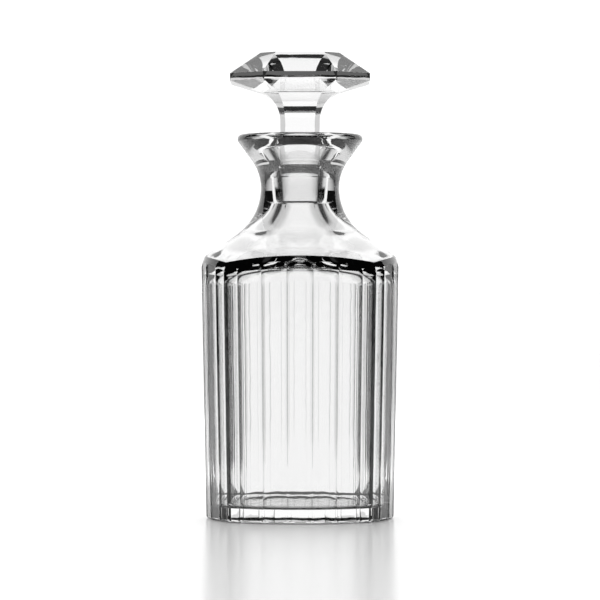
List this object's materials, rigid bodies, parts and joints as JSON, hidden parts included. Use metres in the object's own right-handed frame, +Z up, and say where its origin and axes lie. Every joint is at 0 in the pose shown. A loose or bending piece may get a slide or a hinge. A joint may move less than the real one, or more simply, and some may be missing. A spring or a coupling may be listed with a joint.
{
  "type": "square decanter",
  "caption": "Square cut-crystal spirit decanter with fluted sides, a round waisted neck, a thick flared lip and a faceted ground stopper that lifts out.",
  "frame": {"origin": "middle of the foot, on the surface that the decanter stands on", "axes": "+Z up through the neck and stopper, X and Y square to the four fluted faces"},
  "size_m": [0.1, 0.1, 0.236],
  "materials": {
    "crystal": "polished cut crystal, with a fine-ground plug and seat"
  },
  "bodies": {
    "vessel": {"vessel": "crystal"},
    "stopper": {"stopper": "crystal"}
  },
  "joints": [
    {"name": "stopper_lift", "type": "slide", "parent": "vessel", "child": "stopper", "axis": [0, 0, 1], "range_m": [0, 0.06]}
  ]
}
